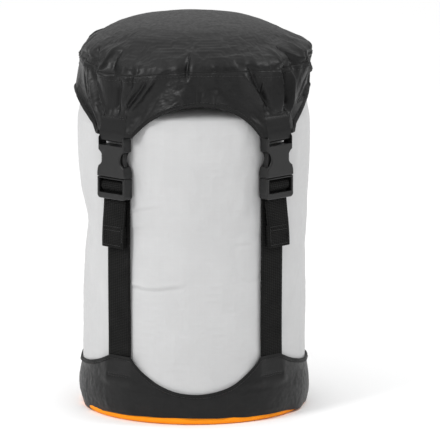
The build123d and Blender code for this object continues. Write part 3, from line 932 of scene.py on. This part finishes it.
def build_seam(lid):
    """Welt where crown and skirt are sewn together, and its topstitching."""
    turn = np.linspace(-math.pi, math.pi, 900, endpoint=False)
    middle = lid(turn, np.ones_like(turn))
    out = np.stack([np.sin(turn), -np.cos(turn), 0 * turn], 1)
    section = np.linspace(0, 2 * math.pi, 10, endpoint=False)
    pinch = 1 + 0.35 * ring_noise(45, 220, turn, 0.0, 10.0)
    rows = [middle + out * (-0.2 + 0.5 * math.cos(a)) * pinch[:, None] + np.array([0, 0, 0.8 * math.sin(a)])
            for a in section]
    piece = grid_piece("lid_seam", np.array(rows), TAPE_CLOTH, wrap=True, wrap_rows=True)
    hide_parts("lid_piping")
    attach(piece, "lid")
    loop = np.linspace(-math.pi, math.pi, 1500)
    sewing = stitches("lid_seam_stitching", [lid.out(loop, np.full(1500, 1.09), 0.12)], DARK_THREAD)
    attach(sewing, "lid")


# Each quarter of the skirt: its first and last bearing, and the arches on its two sides.
QUARTERS = {"front_left": (-90, 0), "front_right": (0, 90), "rear_right": (90, 180),
            "rear_left": (-180, -90)}
ARCHES = {"front_left": ("left", "front"), "front_right": ("front", "right"),
          "rear_right": ("right", "rear"), "rear_left": ("rear", "left")}


def bend_lid_piece(piece):
    """A skirt piece's transform is baked into its mesh."""
    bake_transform(piece)


def build_skirt(lid):
    """Skirt in four quarters, each with its tab, turned hem and sewing."""
    for place, (low, high) in QUARTERS.items():
        centre = BEARING[place]
        inside = centre + np.array([-10.4, -10.3, 10.3, 10.4]) / LID_SKIN
        turn = np.sort(np.concatenate([np.radians(np.linspace(low, high, 181)), inside]))[None, :]
        row = 1 + np.linspace(0, 1, 80)[:, None]
        piece = grid_piece(f"skirt_{place}", lid(turn, row)[::-1], LID_CLOTH)
        thicken(piece, 0.6, rim=False)
        nodes = [f"lid_tab_{place}"] + (["lid_skirt"] if place == "front_left" else [])
        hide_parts(*nodes)
        bend_lid_piece(piece)
        extras = build_skirt_hem(lid, place, turn) + [build_tab_loop(place)]


def build_skirt_hem(lid, place, turn):
    """Turned edge of one quarter of the skirt, on both sides of its tab."""
    s = (turn[0] - BEARING[place]) * LID_SKIN
    rows, hems = np.linspace(0, 1, 9)[:, None], []
    parts = [turn[0][s < -12.2], turn[0][s > 12.2]]
    sewing = []
    for k, bearing in enumerate(parts):
        bearing = bearing[None, :]
        tall = seam_height(bearing) - skirt_edge(bearing)
        row = 2 - 2.8 * rows / tall
        pucker = 0.16 * ring_noise(46, 260, bearing, rows, 4.0)
        points = lid.out(bearing, row, (0.2 + 0.45 * np.sin(rows * math.pi) ** 0.5 + pucker)[..., None])
        piece = grid_piece(f"skirt_hem_{place}_{'ab'[k]}", points, TAPE_CLOTH)
        thicken(piece, 0.5, rim=False)
        hems.append(piece)
        arch = ARCHES[place][k]
        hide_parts(f"lid_binding_{arch}")
        bend_lid_piece(piece)
        line = np.linspace(bearing[0, 0], bearing[0, -1], 400)
        sewing.append(lid.out(line, 2 - 3.1 / (seam_height(line) - skirt_edge(line)), 0.14))
    for low in (207.6, 208.9):
        line = BEARING[place] + np.linspace(-10, 10, 40) / LID_SKIN
        tall = seam_height(line) - TAB_END
        sewing.append(lid.out(line, 1 + (seam_height(line) - low) / tall, 0.12))
    threads = stitches(f"skirt_stitching_{place}", sewing, DARK_THREAD)
    bend_lid_piece(threads)
    return hems + [threads]


def build_tab_loop(place):
    """Doubled end of a tab: it turns under the buckle's top bar and comes up behind."""
    path = [(82.6, TAB_END + 1.4), (82.4, TAB_END + 0.6), (81.8, TAB_END + 0.15), (80.6, TAB_END + 0.1),
            (79.6, TAB_END + 0.8), (79.2, TAB_END + 2.6), (79.1, TAB_END + 6), (78.9, TAB_END + 10),
            (78.8, TAB_END + 16)]
    n, z = spread(path, np.linspace(0, 1, 40))
    line = strap_point(place, 0.0, n, z)
    piece = ribbon(f"tab_loop_{place}", line, width_way(place), 10.1, 0.8, LID_CLOTH)
    bend_lid_piece(piece)
    return piece


# ---- straps -----------------------------------------------------------------------------
def strap_path(place):
    """Centre line of a strap: up behind its frame, over the bar in a lip, down to the frame's foot."""
    lift = LOCK_LIFT if place.startswith("rear") else 0.0
    bore = BAR_N - STRAP_N - WEB_T / 2
    bar = STRAP_TOP + lift - bore - WEB_T / 2
    up = [(BAR_N - bore, z) for z in np.linspace(STRAP_FOOT, bar - 1.0, 70)[:-1]]
    lip = [(76.2, -1.0), (76.4, 1.2), (77.6, 2.4), (79.4, 2.75), (81.4, 2.3), (82.9, 0.9), (83.3, -0.9),
           (82.6, -2.6), (81.3, -4.0), (80.5, -5.3), (80.2, -7.0), (80.2, FRAME_FOOT + lift - 0.3 - bar)]
    n, z = spread(lip, np.linspace(0, 1, 48))
    return np.array(up + list(zip(n, bar + z)))


def build_straps():
    """Four straps and their loose tails."""
    for k, place in enumerate(PLACES):
        across = width_way(place)
        path = strap_path(place)
        n, z = path.T
        wander = 0.22 * np.sin(z / 23.0 + 2 * k) * step(30, 60, z) * step(150, 120, z)
        line = strap_point(place, wander, n, z)
        piece = ribbon(f"webbing_{place}", line, across, WEB_HALF, WEB_T, WEBBING)
        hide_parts(f"strap_{place}")
        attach(piece, "sack")
        build_tail(place, across)


def build_tail(place, across):
    """Loose end of the webbing, folded and sewn at its tip."""
    low, high = cad_box(f"tail_{place}")
    top, end = high[2], low[2]
    share = np.linspace(0, 1, 40)
    z = top + 0.5 + (end - top) * share
    bow = np.sin(share * math.pi)
    n = 2 * BAR_N - STRAP_N - WEB_T / 2 + 0.9 * bow * share
    drift = {"front_left": -1.9, "front_right": 3.2}.get(place, 1.5) * share
    path = strap_point(place, drift, n, z)
    piece = ribbon(f"webbing_tail_{place}", path, across, WEB_HALF, WEB_T, WEBBING)
    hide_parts(f"tail_{place}")
    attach(piece, f"tail_{place}")
    hem_from = np.searchsorted(share, 0.52)
    back = path[hem_from:] - 1.15 * WEB_T * out_way(place)
    hem = ribbon(f"tail_hem_{place}", back, across, WEB_HALF - 0.15, WEB_T * 0.95, WEBBING)
    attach(hem, f"tail_{place}")
    outwards = out_way(place) * (WEB_T / 2 + 0.08)
    box, reach = [], 8.2
    for at in (0.56, 0.62, 0.93):
        middle = path[np.searchsorted(share, at)] + outwards
        box.append(middle + across * np.linspace(-reach, reach, 24)[:, None])
    for x in (-reach, reach):
        box.append(path[hem_from + 2:-3] + outwards + across * x)
    sewing = stitches(f"tail_stitching_{place}", box, DARK_THREAD, pitch=1.9)
    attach(sewing, f"tail_{place}")


# ---- roll-top ---------------------------------------------------------------------------
def build_roll():
    """Rolled mouth: a flattened roll of cloth whose ends turn up and back over it."""
    low, high = cad_box("rolltop_roll")
    thick, half = 8.0, high[1]
    bottom = low[2]
    outer = (high[2] - bottom) / 2
    run = high[0] - outer
    centre = outer - thick / 2
    mid_z = bottom + thick / 2
    straight = np.linspace(0, run, 26)
    arc = np.linspace(0, math.pi, 34)[1:]
    back = np.linspace(run, 30.0, 14)[1:]
    path = [(x, mid_z, 0.0) for x in straight]
    path += [(run + centre * math.sin(t), mid_z + centre * (1 - math.cos(t)), t) for t in arc]
    path += [(x, mid_z + 2 * centre, math.pi) for x in back]
    path = np.array([(-x, z, -t) for x, z, t in path[::-1]][:-1] + path)
    around = np.linspace(0, 2 * math.pi, 72, endpoint=False)
    c, s = np.cos(around), np.sin(around)
    wide = np.sign(c) * np.abs(c) ** 0.55
    tall = np.sign(s) * np.abs(s) ** 0.75
    layers = 0.35 * np.abs(np.sin(around * 7)) * np.abs(c) ** 2
    rows = []
    for k, (x, z, t) in enumerate(path):
        wave = Noise(61)(k * 0.35, around * 3)
        crush = 1 - 0.05 * abs(math.sin(t))
        y = (half - 0.7) * wide + 0.35 * wave + layers * np.sign(c)
        up = (thick / 2 - 0.45) * tall * crush + 0.3 * Noise(62)(k * 0.4, around * 4)
        rows.append(np.stack([x - up * math.sin(t), y, z + up * math.cos(t)], 1))
    piece = grid_piece("roll_cloth", np.array(rows), LIGHT_CLOTH, wrap=True)
    close_ends(piece, len(around))
    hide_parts("rolltop_roll")
    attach(piece, "sack")


def build_roll_tabs():
    """Webbing from each end of the roll, turned over a bar of the small buckle."""
    for side, name, thick in ((-1, "rolltop_tab_left", 1.05), (1, "rolltop_tab_right", 0.9)):
        low, high = cad_box(name)
        middle, leg = (low[2] + high[2]) / 2, (high[2] - low[2] - thick) / 2
        end = high[0] if side > 0 else low[0]
        bar = (low[0] + leg + thick / 2) if side > 0 else (high[0] - leg - thick / 2)
        run = np.linspace(end, bar, 18)
        close = leg - (leg - thick * 0.6) * step(0.5, 0.0, np.linspace(0, 1, 18)) * 0.8
        turn = np.linspace(0, math.pi, 16)[1:-1]
        path = [(x, 0.0, middle + c) for x, c in zip(run, close)]
        path += [(bar - side * leg * math.sin(t), 0.0, middle + leg * math.cos(t)) for t in turn]
        path += [(x, 0.0, middle - c) for x, c in zip(run[::-1], close[::-1])]
        piece = ribbon(f"webbing_{name}", path, (0.0, 1.0, 0.0), high[1], thick, WEBBING)
        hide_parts(name)
        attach(piece, "sack")


# ---- moulded hardware -------------------------------------------------------------------
def soften(node, material, voxel=0.22):
    """Round a moulded piece's edges a little, and give it its material."""
    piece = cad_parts[node]
    piece.data.materials.clear()
    piece.data.materials.append(material)
    remesh = piece.modifiers.new("Remesh", "REMESH")
    remesh.mode = "VOXEL"
    remesh.voxel_size = voxel * MM
    remesh.use_smooth_shade = True
    ease = piece.modifiers.new("Ease", "SMOOTH")
    ease.factor = 0.5
    ease.iterations = 5


def dress_nodes():
    """Materials for the CAD nodes that stay."""
    for name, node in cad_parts.items():
        if node.hide_render:
            continue
        if name.startswith(("socket_", "frame_", "prong_", "ladder_lock")):
            soften(name, PLASTIC)
        elif name.startswith(("rolltop_socket", "rolltop_frame", "rolltop_prong")):
            soften(name, PLASTIC, 0.2)
        else:
            node.data.materials.clear()
            node.data.materials.append(STRIP)


# ---- stage ------------------------------------------------------------------------------
def area_light(name, where, towards, size, watts):
    data = bpy.data.lights.new(name, "AREA")
    data.size = size
    data.energy = watts
    lamp = bpy.data.objects.new(name, data)
    lamp.location = where
    lamp.rotation_euler = (Vector(towards) - Vector(where)).to_track_quat("-Z", "Y").to_euler()
    bpy.context.scene.collection.objects.link(lamp)


def build_sky():
    """Studio round the sack: bright overhead, dimmer low down, and a little brighter on the left."""
    world = bpy.data.worlds.new("studio")
    bpy.context.scene.world = world
    world.use_nodes = True
    tree = world.node_tree
    where = tree.nodes.new("ShaderNodeTexCoord").outputs["Generated"]
    axes = tree.nodes.new("ShaderNodeSeparateXYZ")
    tree.links.new(where, axes.inputs[0])
    ramp = tree.nodes.new("ShaderNodeValToRGB")
    ramp.color_ramp.elements[0].position = 0.05
    ramp.color_ramp.elements[0].color = (0.3, 0.3, 0.3, 1.0)
    ramp.color_ramp.elements[1].position = 0.8
    ramp.color_ramp.elements[1].color = (1.0, 1.0, 1.0, 1.0)
    tree.links.new(axes.outputs["Z"], ramp.inputs[0])
    sky = tree.nodes["Background"]
    tree.links.new(ramp.outputs[0], sky.inputs[0])
    side = tree.nodes.new("ShaderNodeMapRange")
    for key, number in zip(RANGE_KEYS, (-1.0, 1.0, 1.4, 1.14)):
        side.inputs[key].default_value = number
    tree.links.new(axes.outputs["X"], side.inputs["Value"])
    tree.links.new(side.outputs["Result"], sky.inputs[1])


def build_stage():
    """Pale floor, soft light and the camera."""
    floor_cloth = Shader("studio_floor")
    tint = floor_cloth.noise(3.0)
    share = floor_cloth.ramp(tint, 0.3, 0.7)
    white = floor_cloth.mix(share, rgba((0.91, 0.91, 0.91)), rgba((0.93, 0.93, 0.93)))
    floor_cloth.finish(white, 0.7)
    just_under = -0.0001
    bpy.ops.mesh.primitive_plane_add(size=30.0, location=(0, 0, just_under))
    floor = bpy.context.object
    floor.name = "studio_floor"
    floor.data.materials.append(floor_cloth.material)

    build_sky()
    middle = (0.0, 0.0, 0.13)
    area_light("key", (-0.8, -0.75, 0.95), middle, 0.35, 8.0)
    area_light("strip", (0.75, -0.15, 0.75), middle, 0.25, 2.0)

    scene = bpy.context.scene
    scene.view_settings.view_transform = "Standard"
    camera = bpy.data.cameras.new("camera")
    camera.sensor_width = 36.0
    eye = bpy.data.objects.new("camera", camera)
    scene.collection.objects.link(eye)
    distance, rise = 5.0, math.radians(11.0)
    width = 0.2992
    camera.lens = camera.sensor_width * distance / width
    turned = math.radians(-1.5)
    aim = Vector((0.018, 0.0, 0.126))
    away = Vector((math.sin(turned) * math.cos(rise), -math.cos(turned) * math.cos(rise), math.sin(rise)))
    eye.location = aim + distance * away
    eye.rotation_euler = (aim - eye.location).to_track_quat("-Z", "Y").to_euler()
    scene.camera = eye


build_body()
build_base()
build_seam_tapes()
build_cradle()
lid_cloth = LidCloth()
build_crown(lid_cloth)
build_seam(lid_cloth)
build_skirt(lid_cloth)
build_straps()
build_roll()
build_roll_tabs()
dress_nodes()
build_stage()
